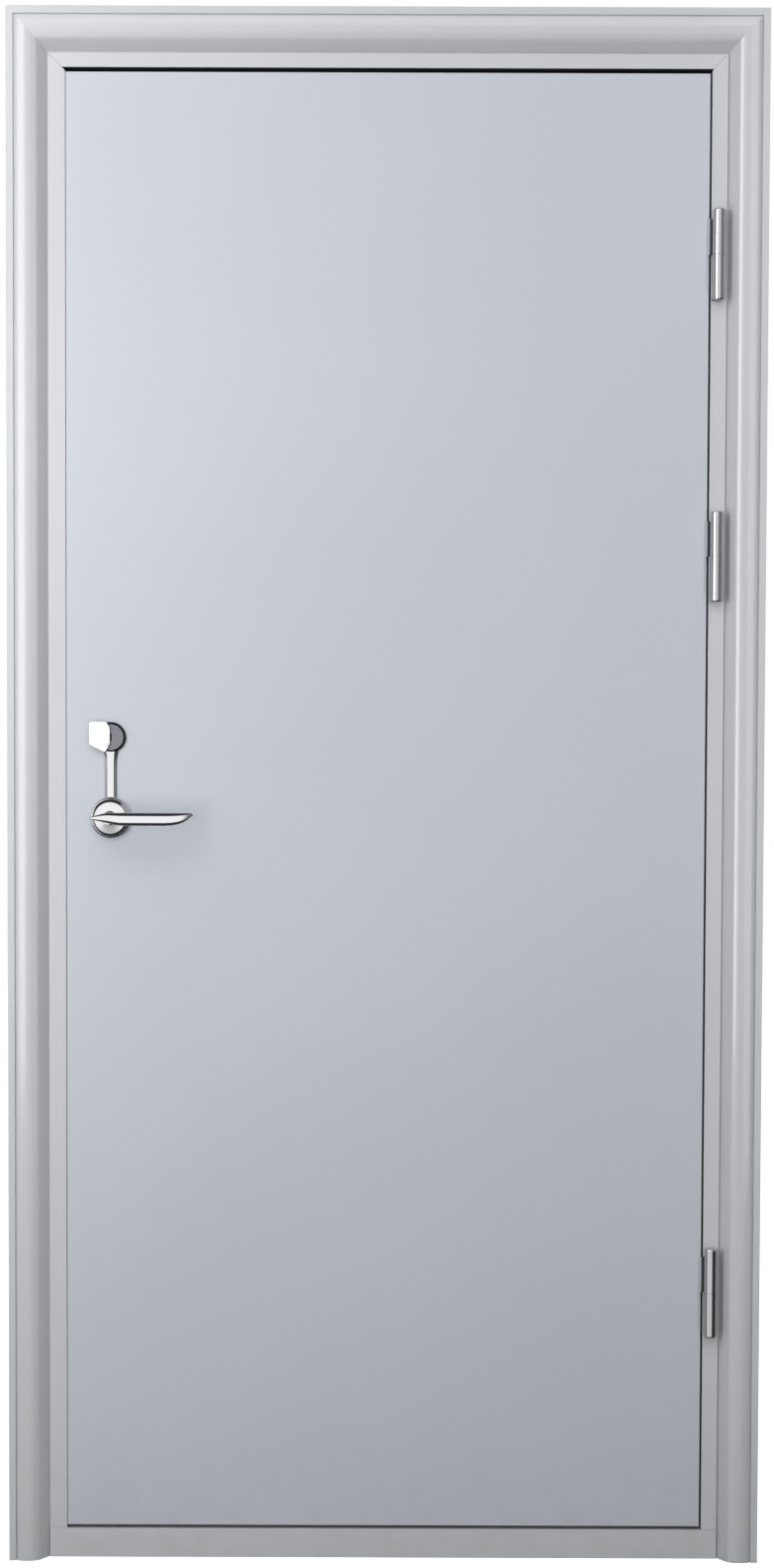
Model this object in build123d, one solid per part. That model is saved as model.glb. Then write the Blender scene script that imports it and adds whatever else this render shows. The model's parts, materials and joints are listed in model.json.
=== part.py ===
from build123d import *
import os

os.makedirs("parts", exist_ok=True)

# Door unit: X across the opening, Y from outside to inside, Z up from the underside of the threshold
frame_width = 1020.0
frame_height = 2100.0
frame_depth = 100.0
frame_sheet = 2.0
frame_lip = 12.0
front = -frame_depth / 2
back = frame_depth / 2

# Frame face: the moulding lies in a rebate beside a flat strip that the leaf is level with
side_face = 73.0
head_face = 78.0
moulding_width = 54.0
moulding_seat = 5.0
stop_height = 15.0
mitre_slope = head_face / side_face
head_stop = stop_height * mitre_slope
jamb_inner = frame_width / 2 - side_face

# Leaf and the gaps round it
leaf_thickness = 50.0
leaf_sheet = 1.5
side_gap = 5.0
top_gap = 6.0
bottom_gap = 5.0
edge_bevel = 3.0
closer_height = 25.0
threshold_height = 40.0
leaf_half = jamb_inner - side_gap
leaf_bottom = threshold_height + bottom_gap
leaf_top = frame_height - head_face - top_gap
leaf_height = leaf_top - leaf_bottom
leaf_back_y = front + leaf_thickness

# Seal between the leaf and the stops
seal_gap = 5.0
seal_width = 7.0
seal_clear = 0.5
rebate = leaf_thickness + seal_gap
stop_y = leaf_back_y + seal_gap
threshold_top = threshold_height + stop_height
seal_in = side_gap + (stop_height - side_gap) / 2

# Moulding section: strip, fine groove, rounded body and hollow against the flat strip
strip_width = 9.0
strip_rise = 22.5
groove_width = 2.2
groove_depth = 1.2
crest_out = 23.0
crest_rise = 24.5
shoulder_out = 35.0
shoulder_rise = 21.0
haunch_out = 44.0
haunch_rise = 13.0
hollow_out = 49.0
hollow_rise = 3.0
moulding_wall = 2.0

# Hinges
barrel_radius = 8.3
barrel_length = 122.0
barrel_chamfer = 2.0
barrel_seam = 0.4
barrel_stand = 1.2
axis_in = 7.5
pin_radius = 4.0
pin_clear = 0.05
pin_cover = 5.0
foot_width = 10.0
strap_thickness = 2.8
plate_depth = 32.0
plate_height = 96.0
top_hinge_drop = 242.0
middle_hinge_drop = 646.0
bottom_hinge_rise = 325.0
axis_x = jamb_inner + axis_in
axis_y = front - barrel_stand - barrel_radius
hinge_heights = {
    "top": leaf_top - top_hinge_drop,
    "middle": leaf_top - middle_hinge_drop,
    "bottom": leaf_bottom + bottom_hinge_rise,
}

# Handle set
backset = 60.0
handle_height = 1015.0
key_rise = 109.0
rose_radius = 28.0
rose_thickness = 8.0
rose_chamfer = 3.0
key_rose_radius = 20.5
key_rose_thickness = 6.0
neck_width = 16.0
neck_thickness = 5.0
neck_round = 2.2
insert_radius = 17.5
insert_depth = 2.0
keyway_width = 2.6
keyway_height = 9.0
rose_bore = 9.0
handle_x = -leaf_half + backset
key_height = handle_height + key_rise

# Lever
turn_gap = 0.5
hub_radius = 24.0
hub_edge = 3.0
hub_dome = 9.0
stem_radius = 8.0
arm_stand = 36.0
arm_depth = 13.0
arm_length = 115.0
arm_tail = 24.0
arm_lift = 1.8
arm_top = 7.5
arm_bottom = 10.0
arm_root = 16.0
arm_belly = 78.0
arm_nose = 3.0
arm_tip_height = 6.0
arm_point = 2.4
arm_flat = 0.5
spindle_size = 8.0
spindle_hole = 7.0

# Swinging cover beside the keyhole
cover_thickness = 4.0
cover_left = 28.0
cover_right = 0.5
cover_top = 21.0
cover_low = 20.5
cover_side_low = 10.0
cover_corner = 3.0
cover_pin_radius = 2.2
cover_pin_left = 5.0
cover_pin_low = 9.5
cover_pin_x = handle_x - cover_pin_left
cover_pin_z = key_height - cover_pin_low

# Lock in the leaf's edge and its keep in the jamb
forend_length = 235.0
forend_width = 22.0
forend_thickness = 3.0
case_depth = 90.0
case_height = 165.0
case_thickness = 15.0
latch_width = 11.0
latch_height = 30.0
bolt_width = 14.0
bolt_height = 36.0
bolt_drop = 62.0
bolt_length = 40.0
keep_length = 190.0
keep_width = 30.0
keep_hole_margin = 3.0
keep_box_depth = 24.0
keep_box_wall = 1.5
keep_ledge = 1.5
lock_mid = handle_height + key_rise / 2

# Wall fixings through the reveal behind the leaf
anchor_hole = 5.25
anchor_end = 200.0
anchor_inner_spacing = 600.0


def block(x0, x1, y0, y1, z0, z1):
    size = Box(x1 - x0, y1 - y0, z1 - z0)
    return Pos((x0 + x1) / 2, (y0 + y1) / 2, (z0 + z1) / 2) * size


def across(radius, x, z, y0, y1):
    """A round bar that runs from outside to inside."""
    place = Plane(origin=(x, y0, z), x_dir=(1, 0, 0), z_dir=(0, 1, 0))
    return extrude(place * Circle(radius), y1 - y0)


def upright(radius, x, y, z0, z1):
    return Pos(x, y, (z0 + z1) / 2) * Cylinder(radius, z1 - z0)


def save(shape, name):
    shape.label = name
    export_step(shape, "parts/" + name + ".step")


# Planes of the frame's three members: local x runs in from the outer edge, local y back from the front
side_plane = Plane(origin=(-frame_width / 2, front, 0), x_dir=(1, 0, 0), z_dir=(0, 0, 1))
head_plane = Plane(origin=(-frame_width / 2, front, frame_height), x_dir=(0, 0, -1), z_dir=(1, 0, 0))


def channel(outline, y0, y1):
    """A folded sheet channel with this outline, open towards the wall."""
    hollow = offset(outline, amount=-frame_sheet, kind=Kind.INTERSECTION)
    slot_length = y1 - y0 - 2 * frame_lip
    slot = Pos(frame_sheet, (y0 + y1) / 2) * Rectangle(frame_sheet * 4, slot_length)
    return outline - hollow - slot


def face_channel(stretch):
    """The channel that carries the moulding and the flat strip beside the leaf."""
    seat = moulding_width * stretch
    face = side_face * stretch
    outline = Polyline(
        (0, moulding_seat),
        (seat, moulding_seat),
        (seat, 0),
        (face, 0),
        (face, rebate),
        (0, rebate),
        close=True,
    )
    return channel(make_face(outline), moulding_seat, rebate)


def stop_channel(stretch):
    """The channel behind it, deeper by the stop that the leaf shuts against."""
    stop = (side_face + stop_height) * stretch
    outline = Polyline((0, rebate), (stop, rebate), (stop, frame_depth), (0, frame_depth), close=True)
    return channel(make_face(outline), rebate, frame_depth)


def corner_wedge():
    """All that lies on the jamb's side of the left mitre."""
    reach = side_face + stop_height
    wedge = Polyline(
        (-frame_width, 0),
        (0, 0),
        (0, frame_height - (frame_width / 2) * mitre_slope),
        (-frame_width / 2, frame_height),
        (-frame_width, frame_height),
        close=True,
    )
    place = Plane(origin=(0, front - reach, 0), x_dir=(1, 0, 0), z_dir=(0, -1, 0))
    return extrude(place * make_face(wedge), -frame_depth - 2 * reach)


def moulding_body(stretch, inset):
    """Rounded outline of the cover strip, or of its hollow when inset by the wall; y runs back."""

    def at(out, rise):
        return (out * stretch, inset - rise)

    groove_end = strip_width + groove_width
    edges = [
        Polyline(at(inset, inset), at(inset, strip_rise), at(groove_end, strip_rise)),
        ThreePointArc(
            at(groove_end, strip_rise),
            at(crest_out - inset / 2, crest_rise),
            at(shoulder_out - inset, shoulder_rise),
        ),
        ThreePointArc(
            at(shoulder_out - inset, shoulder_rise),
            at(haunch_out - inset, haunch_rise),
            at(hollow_out - inset, hollow_rise),
        ),
        Polyline(at(hollow_out - inset, hollow_rise), at(hollow_out - inset, inset), at(inset, inset)),
    ]
    return make_face(edges)


def moulding_section(stretch):
    """The formed cover strip, open behind, with its inner foot in the seat of the frame."""
    foot_width = (moulding_width - hollow_out + moulding_wall) * stretch
    foot_mid = (moulding_width + hollow_out - moulding_wall) * stretch / 2
    foot = Pos(foot_mid, -hollow_rise / 2) * Rectangle(foot_width, hollow_rise)
    groove_mid = (strip_width + groove_width / 2) * stretch
    half = groove_width * stretch / 2
    groove = Polyline(
        (groove_mid - half, -strip_rise),
        (groove_mid, groove_depth - strip_rise),
        (groove_mid + half, -strip_rise),
        close=True,
    )
    return moulding_body(stretch, 0) - moulding_body(stretch, moulding_wall) - make_face(groove) + foot


def threshold_outline():
    """The threshold's section, filled; the jambs stand over it."""
    return make_face(
        Polyline(
            (0, 0),
            (frame_depth, 0),
            (frame_depth, threshold_top),
            (rebate, threshold_top),
            (rebate, threshold_height),
            (0, threshold_height),
            close=True,
        )
    )


threshold_plane = Plane(
    origin=(-frame_width / 2 + moulding_width, front, 0), x_dir=(0, 1, 0), z_dir=(1, 0, 0)
)
threshold_length = frame_width - 2 * moulding_width


def threshold():
    outline = threshold_outline()
    hollow = offset(outline, amount=-frame_sheet, kind=Kind.INTERSECTION)
    return extrude(threshold_plane * (outline - hollow), threshold_length)


def anchor_heights():
    mid = frame_height / 2
    inner = anchor_inner_spacing / 2
    return [anchor_end, mid - inner, mid + inner, frame_height - anchor_end]


def left_upright(section):
    """A channel of the left jamb, with mitred top and the notch for the threshold."""
    bar = extrude(side_plane * section, frame_height)
    bar = bar & corner_wedge()
    return bar - extrude(threshold_plane * threshold_outline(), threshold_length)


def left_stop():
    bar = left_upright(stop_channel(1.0))
    anchor_y = (stop_y + back) / 2
    for z in anchor_heights():
        place = Plane(origin=(-jamb_inner, anchor_y, z), x_dir=(0, 1, 0), z_dir=(1, 0, 0))
        bar -= extrude(place * Circle(anchor_hole), stop_height * 2)
    return bar


def head_bar(section, plane):
    """A member across the top, mitred at both ends."""
    wedge = corner_wedge()
    bar = extrude(plane * section, frame_width) - wedge
    return bar - mirror(wedge, about=Plane.YZ)


keep_z0 = lock_mid - keep_length / 2
keep_z1 = lock_mid + keep_length / 2
keep_y = front + leaf_thickness / 2


def keep_recess():
    return block(
        -jamb_inner - frame_sheet,
        -jamb_inner,
        keep_y - keep_width / 2,
        keep_y + keep_width / 2,
        keep_z0,
        keep_z1,
    )


def keep_openings():
    """Where the latch and the dead bolt would enter the jamb."""
    latch = block(
        -jamb_inner - keep_box_depth,
        -jamb_inner + 1,
        keep_y - latch_width / 2 - keep_hole_margin,
        keep_y + latch_width / 2 + keep_hole_margin,
        key_height - latch_height / 2 - keep_hole_margin,
        key_height + latch_height / 2 + keep_hole_margin,
    )
    bolt_z = key_height - bolt_drop
    bolt = block(
        -jamb_inner - keep_box_depth,
        -jamb_inner + 1,
        keep_y - bolt_width / 2 - keep_hole_margin,
        keep_y + bolt_width / 2 + keep_hole_margin,
        bolt_z - bolt_height / 2 - keep_hole_margin,
        bolt_z + bolt_height / 2 + keep_hole_margin,
    )
    return latch + bolt


def keep_socket():
    """The closed box welded behind the jamb, with the ledge that the keep plate rests on."""
    outer_x = -jamb_inner - frame_sheet - keep_box_depth
    outer = keep_width / 2 + keep_ledge
    inner = keep_width / 2 - keep_ledge
    box = block(
        outer_x,
        -jamb_inner - frame_sheet,
        keep_y - outer,
        keep_y + outer,
        keep_z0 - keep_ledge,
        keep_z1 + keep_ledge,
    )
    cavity = block(
        outer_x + keep_box_wall,
        -jamb_inner,
        keep_y - inner,
        keep_y + inner,
        keep_z0 + keep_ledge,
        keep_z1 - keep_ledge,
    )
    return box - cavity


def seals():
    """Round-nosed strips on the stops, just short of the leaf."""
    height = seal_gap - seal_clear
    nose = make_face(
        [
            Line((-seal_width / 2, 0), (seal_width / 2, 0)),
            Line((seal_width / 2, 0), (seal_width / 2, -height / 3)),
            ThreePointArc((seal_width / 2, -height / 3), (0, -height), (-seal_width / 2, -height / 3)),
            Line((-seal_width / 2, -height / 3), (-seal_width / 2, 0)),
        ]
    )
    side_x = jamb_inner - seal_in
    head_z = frame_height - head_face - (top_gap + (head_stop - top_gap) / 2)
    low_z = threshold_height + bottom_gap + (stop_height - bottom_gap) / 2
    left_place = Plane(origin=(-side_x, stop_y, threshold_top), x_dir=(1, 0, 0), z_dir=(0, 0, 1))
    left = extrude(left_place * nose, frame_height - head_face - head_stop - threshold_top)
    right = mirror(left, about=Plane.YZ)
    run = 2 * (side_x - seal_width / 2)
    head_place = Plane(origin=(-run / 2, stop_y, head_z), x_dir=(0, 0, -1), z_dir=(1, 0, 0))
    low_place = Plane(origin=(-run / 2, stop_y, low_z), x_dir=(0, 0, -1), z_dir=(1, 0, 0))
    return left, right, extrude(head_place * nose, run), extrude(low_place * nose, run)


def knuckle(z0, z1, round_low):
    """Half a hinge barrel, chamfered at its outer end."""
    barrel = upright(barrel_radius, axis_x, axis_y, z0, z1)
    ends = barrel.edges().filter_by(GeomType.CIRCLE).sort_by(Axis.Z)
    end = ends[0] if round_low else ends[-1]
    return chamfer(end, barrel_chamfer)


def frame_hinge(z):
    """The lower half of a barrel on the foot that is welded to the frame."""
    low = z - barrel_length / 2
    high = z - barrel_seam / 2
    foot = block(
        axis_x - foot_width / 2,
        axis_x + foot_width / 2,
        axis_y,
        front,
        low + barrel_chamfer,
        high,
    )
    body = knuckle(low, high, True) + foot
    return body - upright(pin_radius, axis_x, axis_y, low + pin_cover, high)


def leaf_hinge_plate(z):
    plate_x = leaf_half - strap_thickness
    return block(
        plate_x,
        leaf_half,
        front - barrel_stand - strap_thickness,
        front + plate_depth,
        z - plate_height / 2,
        z + plate_height / 2,
    )


def leaf_hinge(z):
    """The upper half of a barrel with the strap and plate let into the leaf's edge."""
    low = z + barrel_seam / 2
    high = z + barrel_length / 2
    strap = block(
        leaf_half - strap_thickness,
        axis_x,
        front - barrel_stand - strap_thickness,
        front - barrel_stand,
        low,
        z + plate_height / 2,
    )
    plate = leaf_hinge_plate(z)
    front_cut = block(
        plate.bounding_box().min.X - 1,
        plate.bounding_box().max.X + 1,
        front - barrel_stand - strap_thickness - 1,
        front,
        z - plate_height,
        low,
    )
    body = knuckle(low, high, False) + strap + (plate - front_cut)
    return body - upright(pin_radius + pin_clear, axis_x, axis_y, low, high - pin_cover)


def hinge_pin(z):
    low = z - barrel_length / 2 + pin_cover
    high = z + barrel_length / 2 - pin_cover - 1.0
    return upright(pin_radius, axis_x, axis_y, low, high)


def bevel_x(y):
    """Where the bevelled lock edge lies at a given depth."""
    return -leaf_half + edge_bevel * (y - front) / leaf_thickness


def leaf_inside(y0, y1, z0, z1):
    """Space between the leaf's folded edges."""
    outline = make_face(
        Polyline(
            (bevel_x(y0) + leaf_sheet, y0),
            (leaf_half - leaf_sheet, y0),
            (leaf_half - leaf_sheet, y1),
            (bevel_x(y1) + leaf_sheet, y1),
            close=True,
        )
    )
    return extrude(Pos(0, 0, z0) * outline, z1 - z0)


def leaf_front():
    """Outer sheet, folded back along both edges."""
    inner = front + leaf_sheet
    outline = make_face(
        Polyline(
            (-leaf_half, front),
            (leaf_half, front),
            (leaf_half, leaf_back_y),
            (leaf_half - leaf_sheet, leaf_back_y),
            (leaf_half - leaf_sheet, inner),
            (bevel_x(inner) + leaf_sheet, inner),
            (bevel_x(leaf_back_y) + leaf_sheet, leaf_back_y),
            (bevel_x(leaf_back_y), leaf_back_y),
            close=True,
        )
    )
    return extrude(Pos(0, 0, leaf_bottom) * outline, leaf_height)


def leaf_back():
    return leaf_inside(leaf_back_y - leaf_sheet, leaf_back_y, leaf_bottom, leaf_top)


def closer(z0, z1, web_top):
    """Folded channel that closes the leaf's top or bottom."""
    y0 = front + leaf_sheet
    y1 = leaf_back_y - leaf_sheet
    body = leaf_inside(y0, y1, z0, z1)
    cavity_low = z0 - 1 if web_top else z0 + leaf_sheet
    cavity_high = z1 - leaf_sheet if web_top else z1 + 1
    cavity = block(-leaf_half, leaf_half, y0 + leaf_sheet, y1 - leaf_sheet, cavity_low, cavity_high)
    return body - cavity


def lock_edge_plane(z):
    """On the bevelled edge: local x runs to the inside, local y out of the edge."""
    return Plane(
        origin=(-leaf_half, front, z), x_dir=(edge_bevel, leaf_thickness, 0), z_dir=(0, 0, 1)
    )


def edge_block(depth0, depth1, width, z0, z1):
    """A block let into the lock edge, between two depths below its surface."""
    body = Pos(leaf_thickness / 2, -(depth0 + depth1) / 2, 0) * Box(width, depth1 - depth0, z1 - z0)
    return lock_edge_plane((z0 + z1) / 2).location * body


def latch_hole():
    return edge_block(
        -1,
        forend_thickness + 1,
        latch_width,
        key_height - latch_height / 2,
        key_height + latch_height / 2,
    )


def bolt_hole():
    z = key_height - bolt_drop
    return edge_block(-1, forend_thickness + 1, bolt_width, z - bolt_height / 2, z + bolt_height / 2)


def forend(z0, z1):
    return edge_block(0, forend_thickness, forend_width, z0, z1)


def spindle_passage():
    y0 = front - rose_thickness * 2
    y1 = leaf_back_y + rose_thickness * 2
    return across(spindle_hole, handle_x, handle_height, y0, y1)


def keyway():
    y0 = front - key_rose_thickness
    return block(
        handle_x - keyway_width / 2,
        handle_x + keyway_width / 2,
        y0,
        y0 + insert_depth,
        key_height - keyway_height / 2,
        key_height + keyway_height / 2,
    )


def backplate():
    """Lever rose and key rose joined by a narrow neck."""
    rose = across(rose_radius, handle_x, handle_height, front - rose_thickness, front)
    rose = chamfer(rose.edges().filter_by(GeomType.CIRCLE).sort_by(Axis.Y)[0], rose_chamfer)
    key_rose = across(key_rose_radius, handle_x, key_height, front - key_rose_thickness, front)
    neck = block(
        handle_x - neck_width / 2,
        handle_x + neck_width / 2,
        front - neck_thickness,
        front,
        handle_height,
        key_height,
    )
    long_edges = neck.edges().filter_by(Axis.Z).sort_by(Axis.Y)[:2]
    neck = fillet(long_edges, neck_round)
    body = rose + key_rose + neck
    face_y = front - key_rose_thickness
    body -= across(insert_radius, handle_x, key_height, face_y, face_y + insert_depth)
    body -= across(rose_bore, handle_x, handle_height, front - rose_thickness, front)
    return body


def key_insert():
    y0 = front - key_rose_thickness
    disc = across(insert_radius, handle_x, key_height, y0, y0 + insert_depth)
    return disc - keyway()


def lever_arm(y):
    """Oval bar, pointed at the root and swept up from below to the tip."""
    side = [
        ThreePointArc((-arm_tail, arm_point / 2), (-arm_tail / 2, arm_top * 0.62), (0, arm_top)),
        Line((0, arm_top), (arm_length - arm_nose, arm_top)),
        ThreePointArc(
            (arm_length - arm_nose, arm_top),
            (arm_length, arm_top - arm_tip_height / 2),
            (arm_length - arm_nose, arm_top - arm_tip_height),
        ),
        ThreePointArc(
            (arm_length - arm_nose, arm_top - arm_tip_height),
            ((arm_length + arm_belly) / 2, -arm_bottom * 0.72),
            (arm_belly, -arm_bottom),
        ),
        Line((arm_belly, -arm_bottom), (arm_root, -arm_bottom)),
        Line((arm_root, -arm_bottom), (-arm_tail, -arm_point / 2)),
        Line((-arm_tail, -arm_point / 2), (-arm_tail, arm_point / 2)),
    ]
    arm_z = handle_height + arm_lift
    side_place = Plane(origin=(handle_x, y, arm_z), x_dir=(1, 0, 0), z_dir=(0, -1, 0))
    outline = extrude(side_place * make_face(side), arm_depth, both=True)
    height = arm_top + arm_bottom
    end_z = arm_z + arm_top - height / 2
    end_place = Plane(origin=(handle_x - arm_tail, y, end_z), x_dir=(0, 1, 0), z_dir=(1, 0, 0))
    section = RectangleRounded(arm_depth, height, arm_depth / 2 - arm_flat)
    bar = extrude(end_place * section, arm_tail + arm_length)
    return outline & bar


def lever():
    """Domed hub, stem and arm of the outside lever."""
    hub_back = front - rose_thickness - turn_gap
    profile = make_face(
        [
            Polyline((0, hub_edge + hub_dome), (0, 0), (hub_radius, 0), (hub_radius, hub_edge)),
            RadiusArc((hub_radius, hub_edge), (0, hub_edge + hub_dome), -hub_sphere()),
        ]
    )
    place = Plane(origin=(handle_x, hub_back, handle_height), x_dir=(1, 0, 0), z_dir=(0, 0, -1))
    hub = revolve(place * profile, Axis((handle_x, 0, handle_height), (0, 1, 0)))
    arm_y = hub_back - arm_stand - arm_depth / 2
    stem = across(stem_radius, handle_x, handle_height, arm_y, hub_back)
    return hub + stem + lever_arm(arm_y)


def hub_sphere():
    """Radius of the sphere that the hub's dome is cut from."""
    return (hub_radius**2 + hub_dome**2) / (2 * hub_dome)


def spindle():
    reach = rose_thickness + turn_gap
    return block(
        handle_x - spindle_size / 2,
        handle_x + spindle_size / 2,
        front - reach,
        leaf_back_y + reach,
        handle_height - spindle_size / 2,
        handle_height + spindle_size / 2,
    )


def key_cover():
    """Plate that swings aside on its pin; shown swung open."""
    outline = Polyline(
        (-cover_left, cover_top),
        (-cover_right * 12, cover_top),
        (-cover_right, cover_top * 0.65),
        (-cover_right, -cover_side_low),
        (-cover_right * 14, -cover_low),
        (-cover_left, -cover_side_low),
        close=True,
    )
    face = make_face(outline)
    face = fillet(face.vertices(), cover_corner)
    place = Plane(
        origin=(handle_x, front - key_rose_thickness - turn_gap, key_height),
        x_dir=(1, 0, 0),
        z_dir=(0, -1, 0),
    )
    plate = extrude(place * face, cover_thickness)
    return plate - cover_pin_bore()


def cover_pin_bore():
    y = front - key_rose_thickness
    return across(cover_pin_radius + pin_clear, cover_pin_x, cover_pin_z, y - cover_thickness * 2, y)


def cover_pin():
    y = front - key_rose_thickness
    shank = across(cover_pin_radius, cover_pin_x, cover_pin_z, y - turn_gap - cover_thickness, y)
    head_y = y - turn_gap * 2 - cover_thickness
    head = across(cover_pin_radius * 1.5, cover_pin_x, cover_pin_z, head_y - 1.0, head_y)
    link = across(cover_pin_radius, cover_pin_x, cover_pin_z, head_y, y - turn_gap - cover_thickness)
    return shank + head + link


def inside_of(shape):
    """The same piece on the inside of the leaf."""
    return mirror(shape, about=Plane.XZ.offset(-(front + leaf_thickness / 2)))


# Frame
jamb = left_upright(face_channel(1.0))
save(jamb - keep_recess() + keep_socket(), "left_jamb")
save(mirror(jamb, about=Plane.YZ), "right_jamb")
save(left_stop(), "left_stop")
save(mirror(left_stop(), about=Plane.YZ), "right_stop")
save(head_bar(face_channel(mitre_slope), head_plane), "head")
save(head_bar(stop_channel(mitre_slope), head_plane), "head_stop")
save(threshold(), "threshold")

seat_y = front + moulding_seat
moulding_side_plane = Plane(origin=(-frame_width / 2, seat_y, 0), x_dir=(1, 0, 0), z_dir=(0, 0, 1))
moulding_head_plane = Plane(
    origin=(-frame_width / 2, seat_y, frame_height), x_dir=(0, 0, -1), z_dir=(1, 0, 0)
)
side_moulding = extrude(moulding_side_plane * moulding_section(1.0), frame_height) & corner_wedge()
save(side_moulding, "left_moulding")
save(mirror(side_moulding, about=Plane.YZ), "right_moulding")
save(head_bar(moulding_section(mitre_slope), moulding_head_plane), "head_moulding")

for name, seal in zip(("left_seal", "right_seal", "head_seal", "threshold_seal"), seals()):
    save(seal, name)

save(keep_recess() - keep_openings(), "keep_plate")

# Leaf
front_sheet = leaf_front()
core = leaf_inside(
    front + leaf_sheet, leaf_back_y - leaf_sheet, leaf_bottom + closer_height, leaf_top - closer_height
)
for place, z in hinge_heights.items():
    save(frame_hinge(z), place + "_frame_hinge")
    save(leaf_hinge(z), place + "_leaf_hinge")
    save(hinge_pin(z), place + "_hinge_pin")
    front_sheet -= leaf_hinge_plate(z)
    core -= leaf_hinge_plate(z)

forend_low = lock_mid - forend_length / 2
forend_high = lock_mid + forend_length / 2
forend_space = forend(forend_low, forend_high)
case_low = lock_mid - case_height / 2
case_high = lock_mid + case_height / 2
case_space = edge_block(forend_thickness, forend_thickness + case_depth, case_thickness, case_low, case_high)
save(front_sheet - forend_space - spindle_passage(), "leaf_front_sheet")
save(leaf_back() - spindle_passage(), "leaf_back_sheet")
save(core - forend_space - case_space - spindle_passage(), "leaf_core")
save(closer(leaf_top - closer_height, leaf_top, True), "leaf_top_channel")
save(closer(leaf_bottom, leaf_bottom + closer_height, False), "leaf_bottom_channel")

# Lock
save(forend_space - latch_hole() - bolt_hole(), "forend_plate")
bolt_in = forend_thickness + bolt_length
latch_low = key_height - latch_height / 2
bolt_low = key_height - bolt_drop - bolt_height / 2
latch = edge_block(0, bolt_in, latch_width, latch_low, latch_low + latch_height)
bolt = edge_block(0, bolt_in, bolt_width, bolt_low, bolt_low + bolt_height)
save(latch, "latch_bolt")
save(bolt, "dead_bolt")
save(case_space - latch - bolt - spindle_passage(), "lock_case")

# Handle set
save(backplate(), "outside_backplate")
save(inside_of(backplate()), "inside_backplate")
save(key_insert(), "outside_key_insert")
save(inside_of(key_insert()), "inside_key_insert")
save(cover_pin(), "cover_pin")
save(key_cover(), "key_cover")
save(lever(), "outside_lever")
save(inside_of(lever()), "inside_lever")
save(spindle(), "spindle")
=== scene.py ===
import json
import math

import bpy
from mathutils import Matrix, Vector

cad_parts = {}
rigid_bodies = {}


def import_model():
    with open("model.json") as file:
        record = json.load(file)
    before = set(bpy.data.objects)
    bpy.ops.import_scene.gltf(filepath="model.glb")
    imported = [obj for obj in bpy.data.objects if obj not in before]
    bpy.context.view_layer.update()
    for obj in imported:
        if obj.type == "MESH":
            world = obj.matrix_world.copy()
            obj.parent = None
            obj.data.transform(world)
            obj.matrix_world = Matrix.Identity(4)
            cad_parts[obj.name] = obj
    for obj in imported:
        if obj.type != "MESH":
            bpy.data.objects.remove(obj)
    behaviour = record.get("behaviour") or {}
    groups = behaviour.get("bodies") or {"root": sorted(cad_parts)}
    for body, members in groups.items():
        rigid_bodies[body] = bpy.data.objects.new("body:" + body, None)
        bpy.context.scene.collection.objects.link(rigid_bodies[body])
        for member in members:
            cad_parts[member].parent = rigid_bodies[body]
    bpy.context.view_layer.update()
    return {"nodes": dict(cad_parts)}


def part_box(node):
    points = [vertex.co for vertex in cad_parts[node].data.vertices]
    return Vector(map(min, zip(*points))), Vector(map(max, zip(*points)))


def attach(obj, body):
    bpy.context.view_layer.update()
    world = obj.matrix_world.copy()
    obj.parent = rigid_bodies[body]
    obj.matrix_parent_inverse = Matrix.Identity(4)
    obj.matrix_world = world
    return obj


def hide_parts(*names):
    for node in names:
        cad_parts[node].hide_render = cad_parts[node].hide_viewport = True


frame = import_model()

# Frame: two jambs, head and threshold, folded from 2 mm steel sheet and welded at the mitred corners.
# Each has a face channel with the flat strip beside the leaf, and a deeper stop channel behind it. The
# folds are slightly rounded, and all of it is powder coated in a light lavender grey, semi gloss.

left_low, left_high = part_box("left_jamb")
head_low, head_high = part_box("head")
frame_face = left_low.y
side_width = left_high.x - left_low.x
head_width = head_high.z - head_low.z
mitre_foot = head_low.z
lock_reveal = left_high.x
lock_step = 0.0044
hinge_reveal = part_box("right_jamb")[0].x
hinge_step = -0.0023
reveal_reach = 0.0002
mitre_reach = 0.001
weld_reach = 0.006
weld_run = 0.0001
fold_radius = 0.0009
sharp_fold = math.radians(30.0)
flat_join = math.radians(2.0)


class Wire:
    """A socket in a finish, so that what varies over a surface is written as a sum."""

    def __init__(self, tree, socket):
        self.tree = tree
        self.socket = socket

    def reckon(self, operation, other=None):
        node = self.tree.nodes.new("ShaderNodeMath")
        node.operation = operation
        for place, value in enumerate((self, other)):
            if isinstance(value, Wire):
                self.tree.links.new(value.socket, node.inputs[place])
            elif value is not None:
                node.inputs[place].default_value = value
        return Wire(self.tree, node.outputs[0])

    def __add__(self, other):
        return self.reckon("ADD", other)

    def __mul__(self, other):
        return self.reckon("MULTIPLY", other)

    def __rsub__(self, other):
        return self * -1.0 + other

    __radd__ = __add__
    __rmul__ = __mul__

    def between(self, low, high):
        """0 below low, 1 above high and smooth in between."""
        node = self.tree.nodes.new("ShaderNodeMapRange")
        node.interpolation_type = "SMOOTHSTEP"
        self.tree.links.new(self.socket, node.inputs["Value"])
        node.inputs["From Min"].default_value = low
        node.inputs["From Max"].default_value = high
        return Wire(self.tree, node.outputs[0])


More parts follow.
